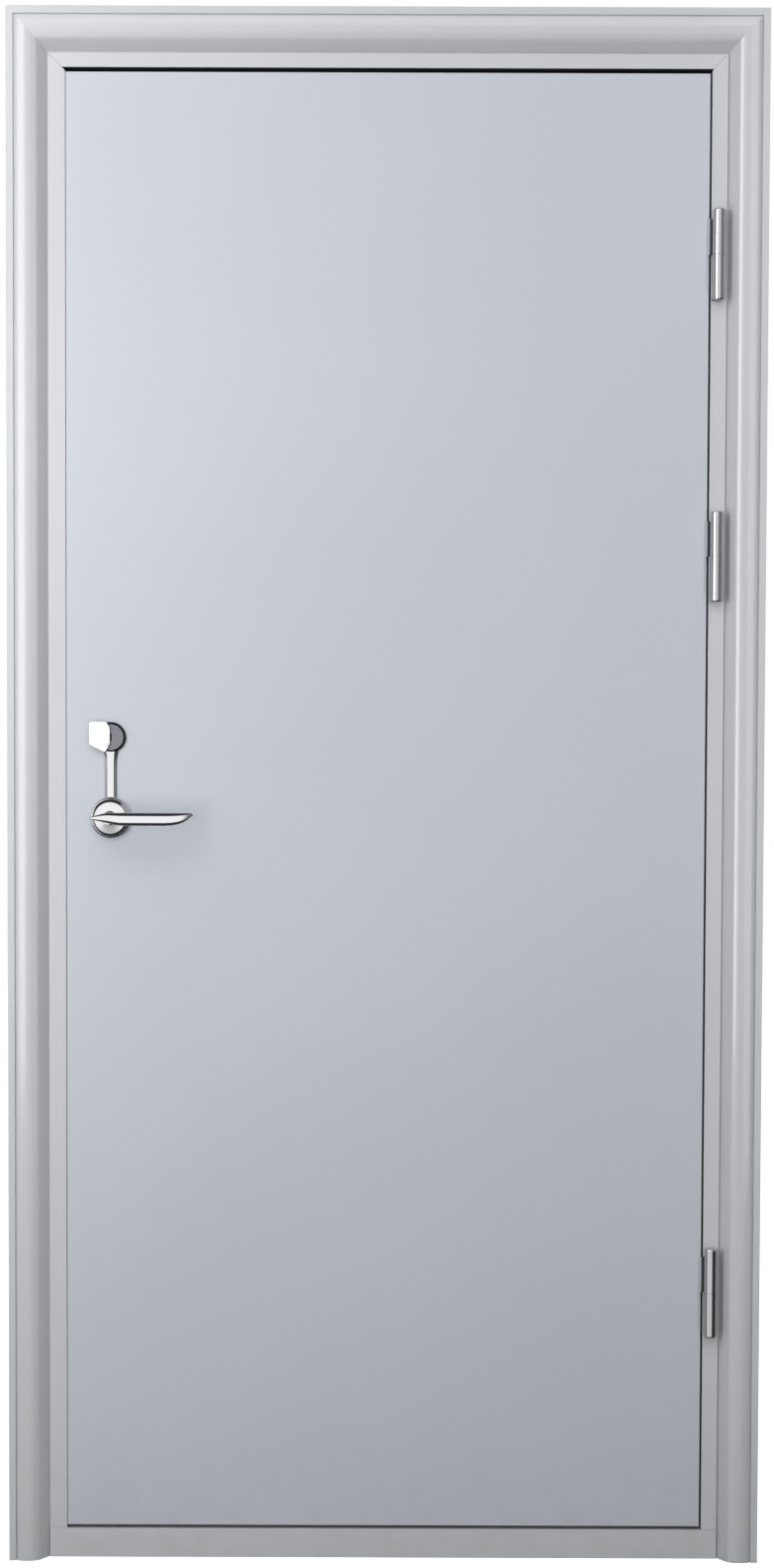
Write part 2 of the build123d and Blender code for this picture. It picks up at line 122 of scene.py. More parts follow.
class Finish:
    """A coat or a metal, with patterns that follow the piece's own coordinates."""

    def __init__(self, name, constants):
        self.material = bpy.data.materials.new(name)
        self.material.use_nodes = True
        self.tree = self.material.node_tree
        self.shader = self.tree.nodes["Principled BSDF"]
        for socket, value in constants.items():
            self.shader.inputs[socket].default_value = value
        self.place = self.node("ShaderNodeTexCoord", output="Object")

    def node(self, kind, settings=None, sockets=None, output=0):
        made = self.tree.nodes.new(kind)
        for name, value in (settings or {}).items():
            setattr(made, name, value)
        for socket, value in (sockets or {}).items():
            if isinstance(value, Wire):
                self.tree.links.new(value.socket, made.inputs[socket])
            else:
                made.inputs[socket].default_value = value
        return Wire(self.tree, made.outputs[output]) if output is not None else made

    def along(self, axis):
        """Height, width or depth of the point, in metres."""
        return self.node("ShaderNodeSeparateXYZ", sockets={"Vector": self.place}, output=axis)

    def stretched(self, x, y, z):
        """The piece's own coordinates, scaled, which draws a pattern out along the smallest number."""
        return self.node("ShaderNodeMapping", sockets={"Vector": self.place, "Scale": (x, y, z)})

    def noise(self, scale, detail=2.0, place=None):
        return self.node(
            "ShaderNodeTexNoise",
            sockets={"Vector": place or self.place, "Scale": scale, "Detail": detail},
        )

    def mix(self, share, first, second):
        return self.node(
            "ShaderNodeMix",
            {"data_type": "RGBA"},
            {"Factor": share, 6: first, 7: second},
            output=2,
        )

    def feed(self, socket, wire):
        self.tree.links.new(wire.socket, self.shader.inputs[socket])

    def relief(self, height, strength, distance):
        bump = self.node(
            "ShaderNodeBump", sockets={"Height": height, "Strength": strength, "Distance": distance}
        )
        self.feed("Normal", bump)


def powder_coat(name, light, dark, roughness, clear):
    """Baked powder paint: faint clouding, a fine skin like orange peel and dust near the floor. The
    clear coat over it is twice as strong on the hinge side."""
    coat = Finish(name, {"IOR": 1.48, "Specular IOR Level": 0.5, "Coat Roughness": 0.12})
    coat.feed("Coat Weight", clear + coat.along("X").between(0.40, 0.46) * clear)
    cloud = coat.noise(1.7, 3.0)
    skin = coat.noise(520.0, 2.0)
    grain = coat.noise(2600.0, 1.0)
    dust = (1.0 - coat.along("Z").between(0.0, 0.22)) * coat.noise(46.0, 5.0).between(0.42, 0.72)
    tone = coat.mix(cloud.between(0.3, 0.7), light, dark)
    tone = coat.mix(grain * 0.05, tone, (0.34, 0.35, 0.38, 1.0))
    coat.feed("Base Color", coat.mix(dust * 0.10, tone, (0.33, 0.31, 0.28, 1.0)))
    coat.feed("Roughness", roughness + skin * 0.05 + cloud * 0.04 + dust * 0.18)
    coat.relief(skin + grain * 0.4, 0.10, 0.00012)
    return coat.material


def plain_state():
    """Object mode with nothing selected."""
    if bpy.context.object and bpy.context.object.mode != "OBJECT":
        bpy.ops.object.mode_set(mode="OBJECT")
    bpy.ops.object.select_all(action="DESELECT")


def take(piece):
    """Select one piece and nothing else."""
    plain_state()
    bpy.context.view_layer.objects.active = piece
    piece.select_set(True)


def coated(piece, material):
    """Give a piece one finish all over."""
    piece.data.materials.clear()
    piece.data.materials.append(material)
    return piece


def settle(piece, angle=35.0):
    """Put a finished piece's place into its mesh and shade it, with large faces kept truly flat."""
    take(piece)
    bpy.ops.object.transform_apply(location=True, rotation=True, scale=True)
    bpy.ops.object.shade_smooth_by_angle(angle=math.radians(angle))
    level = piece.modifiers.new("level", "WEIGHTED_NORMAL")
    level.mode = "FACE_AREA"
    level.weight = 100
    level.keep_sharp = True
    bpy.ops.object.modifier_apply(modifier=level.name)
    return piece


def soften(piece, radius):
    """Round every sharp edge of a piece."""
    take(piece)
    bevel = piece.modifiers.new("soft", "BEVEL")
    bevel.width = radius
    bevel.segments = 3
    bevel.limit_method = "ANGLE"
    bevel.angle_limit = sharp_fold
    bpy.ops.object.modifier_apply(modifier=bevel.name)
    return piece


def rounded_along(piece, axis, radius):
    """Round only the folds that run along one axis, so that mitred ends stay sharp and close."""
    take(piece)
    bpy.ops.object.mode_set(mode="EDIT")
    bpy.ops.mesh.select_mode(type="EDGE")
    bpy.ops.mesh.select_all(action="DESELECT")
    bpy.ops.mesh.edges_select_sharp(sharpness=sharp_fold)
    bpy.ops.object.mode_set(mode="OBJECT")
    for edge in piece.data.edges:
        start, end = (piece.data.vertices[v].co for v in edge.vertices)
        run = end - start
        edge.select = edge.select and abs(run.normalized()[axis]) > 0.999
    bpy.ops.object.mode_set(mode="EDIT")
    bpy.ops.mesh.bevel(offset=radius, segments=3, profile=0.5, affect="EDGES", clamp_overlap=True)
    bpy.ops.mesh.select_mode(type="VERT")
    bpy.ops.object.mode_set(mode="OBJECT")
    return piece


def merged(node, name):
    """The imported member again, with its triangles joined into flat faces."""
    plain_state()
    piece = frame["nodes"][node].copy()
    piece.data = frame["nodes"][node].data.copy()
    for key in list(piece.keys()):
        del piece[key]
    piece.name = name
    bpy.context.scene.collection.objects.link(piece)
    piece.parent = None
    take(piece)
    bpy.ops.mesh.customdata_custom_splitnormals_clear()
    bpy.ops.object.mode_set(mode="EDIT")
    bpy.ops.mesh.select_all(action="SELECT")
    bpy.ops.mesh.remove_doubles(threshold=0.00001)
    bpy.ops.mesh.dissolve_limited(angle_limit=flat_join)
    bpy.ops.object.mode_set(mode="OBJECT")
    return piece


def drawn_close(piece, reveal, step):
    """Bring a reveal up to the leaf, where the frame is set close and the gap is fine."""
    for vertex in piece.data.vertices:
        if abs(vertex.co.x - reveal) < reveal_reach:
            vertex.co.x += step
            if vertex.co.z > mitre_foot - mitre_reach:
                vertex.co.z -= abs(step) * head_width / side_width
    return piece


def welded(piece):
    """Let the mitred ends of an upright run into the head a little, as the weld does."""
    for vertex in piece.data.vertices:
        if vertex.co.z > mitre_foot - weld_reach:
            vertex.co.z += weld_run
    return piece


frame_coat = powder_coat(
    "frame_coat", (0.594, 0.606, 0.628, 1.0), (0.566, 0.578, 0.602, 1.0), roughness=0.27, clear=0.45
)
upright, level_run = 2, 0
for member, axis in (
    ("left_jamb", upright),
    ("right_jamb", upright),
    ("head", level_run),
    ("left_stop", upright),
    ("right_stop", upright),
    ("head_stop", level_run),
    ("threshold", level_run),
):
    piece = merged(member, member + "_folded")
    if member == "left_jamb":
        welded(drawn_close(piece, lock_reveal, lock_step))
    if member == "right_jamb":
        welded(drawn_close(piece, hinge_reveal, hinge_step))
    settle(coated(rounded_along(piece, axis, fold_radius), frame_coat))
    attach(piece, "frame")
    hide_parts(member)

# Mouldings: three cover strips pressed from sheet, with a flat edge and a fine groove, then a full round
# that falls into a hollow beside the frame's flat strip. They are mitred, welded, dressed smooth and coated
# with the frame. Points of the section are (inwards from the outer edge, forwards from the seat).

strip_out = 0.0090
strip_rise = 0.0225
strip_edge = 0.0006
edge_middle = strip_edge * 0.29
groove_out = 0.0102
groove_half = 0.0006
groove_fall = 0.0030
rise_start = (0.0116, 0.0225)
rise_middle = (0.0156, 0.0236)
shoulder = (0.0200, 0.0241)
crest = (0.0268, 0.0245)
plateau = (0.0338, 0.0234)
brow = (0.0376, 0.0217)
brow_middle = (0.0410, 0.0193)
haunch = (0.0434, 0.0162)
hollow_middle = (0.0474, 0.0105)
valley = (0.0512, 0.0046)
lip = ((0.0524, 0.0028), (0.0533, 0.0018), (0.0540, 0.0016))
strip_wall = 0.0015
strip_low, strip_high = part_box("head_moulding")
seat_y = strip_high.y
side_mitre = Vector((side_width, 0.0, head_width)).normalized()


def bow(start, through, end, steps):
    """Points on the circle through three places, without the first."""
    ax, ay = start
    bx, by = through
    cx, cy = end
    d = 2 * (ax * (by - cy) + bx * (cy - ay) + cx * (ay - by))
    ux = ((ax**2 + ay**2) * (by - cy) + (bx**2 + by**2) * (cy - ay) + (cx**2 + cy**2) * (ay - by)) / d
    uy = ((ax**2 + ay**2) * (cx - bx) + (bx**2 + by**2) * (ax - cx) + (cx**2 + cy**2) * (bx - ax)) / d
    radius = math.hypot(ax - ux, ay - uy)
    first = math.atan2(ay - uy, ax - ux)
    last = math.atan2(cy - uy, cx - ux)
    if last - first > math.pi:
        last -= 2 * math.pi
    if last - first < -math.pi:
        last += 2 * math.pi
    turns = [first + (last - first) * n / steps for n in range(1, steps + 1)]
    return [(ux + radius * math.cos(t), uy + radius * math.sin(t)) for t in turns]


def pressed_section():
    """The visible line of the section, from the outer edge to the lip beside the flat strip."""
    groove_floor = strip_rise - groove_fall
    line = bow(
        (0.0, strip_rise - strip_edge), (edge_middle, strip_rise - edge_middle), (strip_edge, strip_rise), 4
    )
    line += [(strip_out - 0.0004, strip_rise), (strip_out + 0.0003, strip_rise - 0.0003)]
    line += [(groove_out - groove_half, groove_floor), (groove_out + groove_half, groove_floor)]
    line += [rise_start]
    line += bow(rise_start, rise_middle, shoulder, 7)
    line += bow(shoulder, crest, plateau, 10)
    line += [brow]
    line += bow(brow, brow_middle, haunch, 6)
    line += bow(haunch, hollow_middle, valley, 6)
    return line + list(lip)


def pressed_strip(name, start, out, along, length, stretch=1.0):
    """A straight length of the moulding, drawn sideways along `out` through the section's points."""
    plain_state()
    bpy.ops.mesh.primitive_plane_add(size=1.0)
    piece = bpy.context.object
    piece.name = name
    first_rise = strip_rise - strip_edge
    corners = [
        start,
        start + along * length,
        start + along * length + Vector((0.0, -first_rise, 0.0)),
        start + Vector((0.0, -first_rise, 0.0)),
    ]
    for vertex, corner in zip((0, 1, 3, 2), corners):
        piece.data.vertices[vertex].co = corner
    bpy.ops.object.mode_set(mode="EDIT")
    bpy.ops.mesh.select_all(action="DESELECT")
    bpy.ops.object.mode_set(mode="OBJECT")
    for vertex in piece.data.vertices:
        vertex.select = vertex.co.y < seat_y - first_rise / 2
    for edge in piece.data.edges:
        edge.select = all(piece.data.vertices[v].select for v in edge.vertices)
    bpy.ops.object.mode_set(mode="EDIT")
    at = (0.0, first_rise)
    for point in pressed_section():
        step = out * (point[0] - at[0]) * stretch + Vector((0.0, at[1] - point[1], 0.0))
        bpy.ops.mesh.extrude_region_move(TRANSFORM_OT_translate={"value": step})
        at = point
    bpy.ops.object.mode_set(mode="OBJECT")
    return piece


def mitred(piece, corner, normal):
    """Cut on the mitre and drop what lies on the normal's side."""
    take(piece)
    bpy.ops.object.mode_set(mode="EDIT")
    bpy.ops.mesh.select_all(action="SELECT")
    bpy.ops.mesh.bisect(plane_co=corner, plane_no=normal, clear_outer=True)
    bpy.ops.object.mode_set(mode="OBJECT")


def backed(piece, wall):
    """Give a pressed sheet its thickness, behind the visible face."""
    take(piece)
    bpy.ops.object.mode_set(mode="EDIT")
    bpy.ops.mesh.select_all(action="SELECT")
    bpy.ops.mesh.remove_doubles(threshold=0.000001)
    bpy.ops.mesh.normals_make_consistent(inside=False)
    bpy.ops.object.mode_set(mode="OBJECT")
    facing = sum(face.normal.y * face.area for face in piece.data.polygons)
    if facing > 0:
        bpy.ops.object.mode_set(mode="EDIT")
        bpy.ops.mesh.flip_normals()
        bpy.ops.object.mode_set(mode="OBJECT")
    sheet = piece.modifiers.new("wall", "SOLIDIFY")
    sheet.thickness = wall
    sheet.offset = -1.0
    bpy.ops.object.modifier_apply(modifier=sheet.name)


top_left = Vector((strip_low.x, seat_y, strip_high.z))
top_right = Vector((strip_high.x, seat_y, strip_high.z))
foot_left = Vector((strip_low.x, seat_y, 0))
foot_right = Vector((strip_high.x, seat_y, 0))
rightwards = Vector((1, 0, 0))
upwards = Vector((0, 0, 1))
left = pressed_strip("left_moulding_pressed", foot_left, rightwards, upwards, strip_high.z)
mitred(left, top_left, (side_mitre.z, 0.0, side_mitre.x))
right = pressed_strip("right_moulding_pressed", foot_right, -rightwards, upwards, strip_high.z)
mitred(right, top_right, (-side_mitre.z, 0.0, side_mitre.x))
across = pressed_strip(
    "head_moulding_pressed", top_left, -upwards, rightwards, strip_high.x - strip_low.x,
    stretch=head_width / side_width,
)
mitred(across, top_left, (-side_mitre.z, 0.0, -side_mitre.x))
mitred(across, top_right, (side_mitre.z, 0.0, -side_mitre.x))
for piece, member in ((left, "left_moulding"), (right, "right_moulding"), (across, "head_moulding")):
    backed(piece, strip_wall)
    settle(coated(piece, frame_coat), 40.0)
    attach(piece, "frame")
    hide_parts(member)

# Seals: strips of black rubber pressed onto the stops all round, which the leaf shuts against. Their
# skin is matt, a little dusty and slightly uneven along the length. The head's own underside above the
# leaf is given the same black as painted shade, so that the gap above the leaf shows black.

rubber_and_shade = Finish("seal_rubber", {"IOR": 1.5, "Specular IOR Level": 0.3})
bloom = rubber_and_shade.noise(60.0, 4.0)
rubber_and_shade.feed("Base Color", rubber_and_shade.mix(bloom, (0.016, 0.016, 0.017, 1.0), (0.034, 0.034, 0.036, 1.0)))
rubber_and_shade.feed("Roughness", 0.72 + bloom * 0.16)
rubber_and_shade.relief(rubber_and_shade.noise(900.0, 2.0), 0.2, 0.0001)
for member in ("left_seal", "right_seal", "head_seal", "threshold_seal"):
    coated(frame["nodes"][member], rubber_and_shade.material)
# Painted shade: the head's underside faces beside the leaf take the black rubber finish, with no strip
# there.
lintel_with_painted_shade = bpy.data.objects["head_folded"]
lintel_with_painted_shade.data.materials.append(rubber_and_shade.material)
for face in lintel_with_painted_shade.data.polygons:
    if face.normal.z < -0.9 and abs(face.center.z - mitre_foot) < 0.002:
        face.material_index = 1

# Lock ironwork: the keep plate in the left jamb, and the forend with its flush latch and dead bolt in
# the leaf's edge. They are plain steel, ground along their length and nickelled thinly, as are the lock
# case behind them and the spindle.

plate_round = 0.0003
bolt_round = 0.0006
ground = Finish("ground_steel", {"Metallic": 1.0})
lines = ground.noise(160.0, 3.0, ground.stretched(9.0, 9.0, 0.35))
stain = ground.noise(24.0, 4.0)
ground.feed("Base Color", ground.mix(stain, (0.50, 0.50, 0.51, 1.0), (0.62, 0.62, 0.62, 1.0)))
ground.feed("Roughness", 0.28 + lines * 0.14 + stain * 0.08)
ground.relief(lines, 0.12, 0.0001)
for member, body, radius in (
    ("keep_plate", "frame", plate_round),
    ("forend_plate", "leaf", plate_round),
    ("latch_bolt", "leaf", bolt_round),
    ("dead_bolt", "leaf", bolt_round),
):
    piece = merged(member, member + "_ground")
    if member == "keep_plate":
        drawn_close(piece, lock_reveal, lock_step)
    settle(coated(soften(piece, radius), ground.material))
    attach(piece, body)
    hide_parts(member)
for member in ("lock_case", "spindle"):
    coated(frame["nodes"][member], ground.material)

# Leaf: a shallow tray of 1.5 mm sheet with rounded folds and a back sheet let into it, stiffened by a
# channel at head and foot and filled with mineral wool. It is powder coated in a grey that is slightly
# bluer than the frame's, without a clear coat.

leaf_low, leaf_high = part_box("leaf_front_sheet")
skin_fold = 0.0012
back_edge = 0.0003
channel_fold = 0.0004
leaf_coat = powder_coat(
    "leaf_coat", (0.580, 0.605, 0.662, 1.0), (0.556, 0.580, 0.636, 1.0), roughness=0.30, clear=0.0
)
for member, radius in (
    ("leaf_front_sheet", skin_fold),
    ("leaf_back_sheet", back_edge),
    ("leaf_top_channel", channel_fold),
    ("leaf_bottom_channel", channel_fold),
):
    piece = settle(coated(soften(merged(member, member + "_folded"), radius), leaf_coat))
    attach(piece, "leaf")
    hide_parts(member)

wool = Finish("mineral_wool", {"Roughness": 0.95, "Specular IOR Level": 0.1})
strands = wool.noise(420.0, 6.0, wool.stretched(1.0, 4.0, 1.0))
wool.feed("Base Color", wool.mix(strands, (0.46, 0.38, 0.16, 1.0), (0.70, 0.62, 0.36, 1.0)))
wool.relief(strands, 0.8, 0.002)
coated(frame["nodes"]["leaf_core"], wool.material)

# Hinges: three barrel hinges of satin steel, turned with round ends. The lower half of each barrel stands
# on a foot welded to the frame. The upper half carries a strap that crosses the gap to a plate let into
# the leaf's edge. Foot and strap are near black, as painted shade that makes the strap read as the gap,
# and what lies on the leaf is painted with it.

pin_x = 0.4445
pin_y = -0.0595
barrel_radius = 0.0090
barrel_half = 0.0610
barrel_round = 0.0026
barrel_gap = 0.0002
barrel_turns = 72
end_reach = 0.0001
foot_inwards = 0.0085
foot_outwards = 0.005
foot_front = pin_y + 0.001
foot_soft = 0.0012
leaf_edge = leaf_high.x
strap_front = -0.0540
strap_back = -0.0512
strap_height = 0.048
strap_soft = 0.0004
root_inset = 0.0006
root_overlap = 0.0004
root_back = -0.0499
plate_wall = 0.0028
plate_back = -0.0180
plate_soft = 0.0003

satin = Finish("satin_steel", {"Metallic": 1.0})
brushed = satin.noise(130.0, 4.0, satin.stretched(1.0, 1.0, 16.0))
smear = satin.noise(18.0, 3.0)
satin.feed("Base Color", satin.mix(smear, (0.50, 0.50, 0.52, 1.0), (0.58, 0.58, 0.60, 1.0)))
satin.feed("Roughness", 0.13 + brushed * 0.07 + smear * 0.04)
satin.relief(brushed, 0.01, 0.0001)

# Painted shade: a near-black steel for foot and strap, so that they read as the shaded gap.
shade_steel = Finish("dark_steel_painted_shade", {"Metallic": 1.0})
shade_mottle = shade_steel.noise(90.0, 4.0)
shade_steel.feed("Base Color", shade_steel.mix(shade_mottle, (0.045, 0.045, 0.048, 1.0), (0.075, 0.075, 0.080, 1.0)))
shade_steel.feed("Roughness", 0.50 + shade_mottle * 0.15)
shade_steel.relief(shade_mottle, 0.10, 0.0001)


def bar(low, high):
    """A plain bar between two corners."""
    plain_state()
    bpy.ops.mesh.primitive_cube_add(size=1.0, location=(low + high) / 2)
    piece = bpy.context.object
    piece.scale = high - low
    bpy.ops.object.transform_apply(location=True, rotation=True, scale=True)
    return piece


def turned_half(low, high, rounded):
    """Half a barrel round the pin, with its outer end turned round."""
    plain_state()
    bpy.ops.mesh.primitive_cylinder_add(
        vertices=barrel_turns,
        radius=barrel_radius,
        depth=high - low,
        location=(pin_x, pin_y, (low + high) / 2),
    )
    piece = bpy.context.object
    bpy.ops.object.transform_apply(location=True, rotation=True, scale=True)
    for vertex in piece.data.vertices:
        vertex.select = abs(vertex.co.z - rounded) < end_reach
    for part in list(piece.data.edges) + list(piece.data.polygons):
        part.select = all(piece.data.vertices[v].select for v in part.vertices)
    bpy.ops.object.mode_set(mode="EDIT")
    bpy.ops.mesh.bevel(offset=barrel_round, segments=6, profile=0.5)
    bpy.ops.object.mode_set(mode="OBJECT")
    return piece


def joined(name, first, others):
    """Several meshes as one piece, which takes the name."""
    take(first)
    for other in others:
        other.select_set(True)
    bpy.context.view_layer.objects.active = first
    bpy.ops.object.join()
    first.name = name
    return first


def placed(model, name, shift):
    """The same piece again, with its own mesh, at another height."""
    piece = model.copy()
    piece.data = model.data.copy()
    piece.name = name
    bpy.context.scene.collection.objects.link(piece)
    for vertex in piece.data.vertices:
        vertex.co.z += shift
    return piece


foot_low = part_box("top_frame_hinge")[0].z
middle = foot_low + barrel_half
lower = coated(turned_half(foot_low, middle - barrel_gap, foot_low), satin.material)
foot = bar(
    Vector((pin_x - foot_inwards, foot_front, foot_low)),
    Vector((pin_x + foot_outwards, frame_face, middle - barrel_gap)),
)
# The foot takes the near-black painted shade.
coated(soften(foot, foot_soft), shade_steel.material)
frame_half = settle(joined("frame_half", lower, [foot]))

plate_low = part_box("top_leaf_hinge")[0]
strap_low = middle + barrel_gap
strap_top = middle + strap_height
upper = coated(turned_half(strap_low, middle + barrel_half, middle + barrel_half), satin.material)
strap = bar(Vector((leaf_edge, strap_front, strap_low)), Vector((pin_x, strap_back, strap_top)))
plate = bar(
    Vector((plate_low.x, frame_face, plate_low.z)),
    Vector((plate_low.x + plate_wall, plate_back, strap_top)),
)
root = bar(
    Vector((plate_low.x + root_inset, strap_front, strap_low)),
    Vector((leaf_edge + root_overlap, root_back, strap_top)),
)
# The strap takes the near-black painted shade, so it reads as the dark gap.
coated(soften(strap, strap_soft), shade_steel.material)
coated(soften(root, strap_soft), leaf_coat)
coated(soften(plate, plate_soft), leaf_coat)
leaf_half = settle(joined("leaf_half", upper, [strap, root, plate]))

for where in ("top", "middle", "bottom"):
    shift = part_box(where + "_frame_hinge")[0].z - foot_low
    for model, member, body in (
        (frame_half, where + "_frame_hinge", "frame"),
        (leaf_half, where + "_leaf_hinge", "leaf"),
    ):
        piece = placed(model, member + "_turned", shift)
        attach(piece, body)
        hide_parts(member)
    coated(frame["nodes"][where + "_hinge_pin"], satin.material)
for model in (frame_half, leaf_half):
    bpy.data.objects.remove(model, do_unlink=True)

# Backplates: one casting on each side of the leaf, with a round rose for the lever, a flat neck with
# sloped sides and a smaller rose for the key, polished and chromed. The key rose has a blacked rim, and
# in it sits an insert of darkened steel that the keyway is cut in. Rings are (radius, rise) in mm.

sides = (("outside", leaf_low.y, -1.0), ("inside", leaf_high.y, 1.0))
spindle_low, spindle_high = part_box("spindle")
insert_low, insert_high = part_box("outside_key_insert")
handle_x = (spindle_low.x + spindle_high.x) / 2
handle_z = (spindle_low.z + spindle_high.z) / 2
key_z = (insert_low.z + insert_high.z) / 2
insert_soft = 0.0003
rose_line = (
    (28.0, 0.0), (28.0, 4.4), (27.8, 5.4), (27.2, 6.3), (26.3, 7.0), (25.2, 7.5), (23.9, 7.8), (22.0, 8.0),
    (9.0, 8.0), (9.0, 0.0),
)
key_rose_line = (
    (20.5, 0.0), (20.5, 3.2), (20.2, 4.3), (19.4, 5.3), (18.2, 5.9), (17.2, 6.0), (16.2, 5.7), (15.6, 5.2),
    (15.5, 2.0),
)

chrome = Finish("bright_chrome", {"Metallic": 1.0})
rub = chrome.noise(38.0, 4.0)
hair = chrome.noise(700.0, 2.0, chrome.stretched(1.0, 1.0, 5.0))
chrome.feed("Base Color", chrome.mix(rub, (0.84, 0.84, 0.86, 1.0), (0.90, 0.90, 0.91, 1.0)))
chrome.feed("Roughness", 0.09 + rub * 0.04 + hair * 0.03)
chrome.relief(hair, 0.03, 0.0001)

smoked = Finish("darkened_steel", {"Metallic": 1.0})
fleck = smoked.noise(260.0, 4.0)
smoked.feed("Base Color", smoked.mix(fleck, (0.120, 0.120, 0.138, 1.0), (0.165, 0.165, 0.185, 1.0)))
smoked.feed("Roughness", 0.34 + fleck * 0.12)
smoked.relief(fleck, 0.08, 0.0001)

blacked = Finish("blacked_steel", {"Metallic": 1.0})
haze = blacked.noise(120.0, 4.0)
blacked.feed("Base Color", blacked.mix(haze, (0.030, 0.030, 0.034, 1.0), (0.055, 0.055, 0.062, 1.0)))
blacked.feed("Roughness", 0.22 + haze * 0.12)
blacked.relief(haze, 0.05, 0.0001)


def closed(piece):
    """Merge the doubles of a worked shell and face it outwards."""
    take(piece)
    bpy.ops.object.mode_set(mode="EDIT")
    bpy.ops.mesh.select_all(action="SELECT")
    bpy.ops.mesh.remove_doubles(threshold=0.000001)
    bpy.ops.mesh.normals_make_consistent(inside=False)
    bpy.ops.object.mode_set(mode="OBJECT")
    return piece


def turned(name, height, face, outwards, line):
    """A piece turned round a line out of the leaf, by drawing its first ring through the others."""
    plain_state()
    centre = Vector((handle_x, face, height))
    first = line[0][0] / 1000
    bpy.ops.mesh.primitive_circle_add(
        vertices=96, radius=first, fill_type="NGON", location=centre, rotation=(math.pi / 2, 0.0, 0.0)
    )
    piece = bpy.context.object
    piece.name = name
    bpy.ops.object.mode_set(mode="EDIT")
    bpy.ops.mesh.select_all(action="SELECT")
    bpy.ops.transform.translate(value=(0.0, outwards * line[0][1] / 1000, 0.0))
    for before, after in zip(line, line[1:]):
        rise = outwards * (after[1] - before[1]) / 1000
        bpy.ops.mesh.extrude_region_move(TRANSFORM_OT_translate={"value": (0.0, rise, 0.0)})
        share = after[0] / before[0]
        bpy.ops.transform.resize(value=(share, 1.0, share), center_override=centre)
    bpy.ops.object.mode_set(mode="OBJECT")
    return closed(piece)


neck_section = (
    (8.5, 0.0), (8.5, 1.0), (8.2, 1.5), (4.7, 4.55), (4.1, 4.9), (0.0, 5.0),
    (-4.1, 4.9), (-4.7, 4.55), (-8.2, 1.5), (-8.5, 1.0), (-8.5, 0.0),
)
neck_stations = ((1.030, 1.00), (1.050, 1.00), (1.080, 1.00), (1.092, 1.03), (1.100, 1.12), (1.108, 1.30))


def drawn_neck(name, face, outwards):
    """The neck between the roses: flat in front, with sloped sides, wider where it meets the key rose."""
    plain_state()
    centre = Vector((handle_x, face, neck_stations[0][0]))
    bpy.ops.mesh.primitive_circle_add(
        vertices=len(neck_section), radius=0.008, fill_type="NGON", location=centre
    )
    piece = bpy.context.object
    piece.name = name
    for vertex, (across, rise) in zip(piece.data.vertices, neck_section):
        vertex.co = (across / 1000, outwards * rise / 1000, 0.0)
    bpy.ops.object.mode_set(mode="EDIT")
    bpy.ops.mesh.select_all(action="SELECT")
    for before, after in zip(neck_stations, neck_stations[1:]):
        bpy.ops.mesh.extrude_region_move(TRANSFORM_OT_translate={"value": (0.0, 0.0, after[0] - before[0])})
        share = after[1] / before[1]
        bpy.ops.transform.resize(value=(share, 1.0, 1.0), center_override=centre)
    bpy.ops.object.mode_set(mode="OBJECT")
    return closed(piece)


for side, face, outwards in sides:
    rose = coated(turned(side + "_rose", handle_z, face, outwards, rose_line), chrome.material)
    neck = coated(drawn_neck(side + "_neck", face, outwards), chrome.material)
    ring = coated(turned(side + "_key_ring", key_z, face, outwards, key_rose_line), blacked.material)
    piece = settle(joined(side + "_backplate_cast", rose, [neck, ring]), 15.0)
    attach(piece, "leaf")
    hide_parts(side + "_backplate")
    insert = soften(merged(side + "_key_insert", side + "_key_insert_turned"), insert_soft)
    piece = settle(coated(insert, smoked.material))
    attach(piece, "leaf")
    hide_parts(side + "_key_insert")

# Keyhole cover: a thick plate of polished steel with rounded edges. It swings on a chromed pin, riveted
# through the key rose, and stays where it is put. It is stored open, beside the keyway.

cover_soft = 0.0009
rivet_soft = 0.0003
bright = Finish("polished_cover", {"Metallic": 1.0})
wipe = bright.noise(60.0, 3.0)
bright.feed("Base Color", bright.mix(wipe, (0.84, 0.84, 0.84, 1.0), (0.90, 0.90, 0.90, 1.0)))
bright.feed("Roughness", 0.20 + wipe * 0.08)
bright.relief(wipe, 0.03, 0.0001)
piece = settle(coated(soften(merged("key_cover", "key_cover_polished"), cover_soft), bright.material))
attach(piece, "cover")
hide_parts("key_cover")
piece = settle(coated(soften(merged("cover_pin", "cover_pin_riveted"), rivet_soft), chrome.material))
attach(piece, "leaf")
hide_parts("cover_pin")

# Levers: a flat domed hub that draws out into a short stem, and a slim oval arm with a pointed tail,
# swept up from below to its tip. Hub, stem and arm are cast in one, polished and chromed. The arm's
# stations are (out, upper edge, lower edge, thickness) in mm, from the tail to the tip.

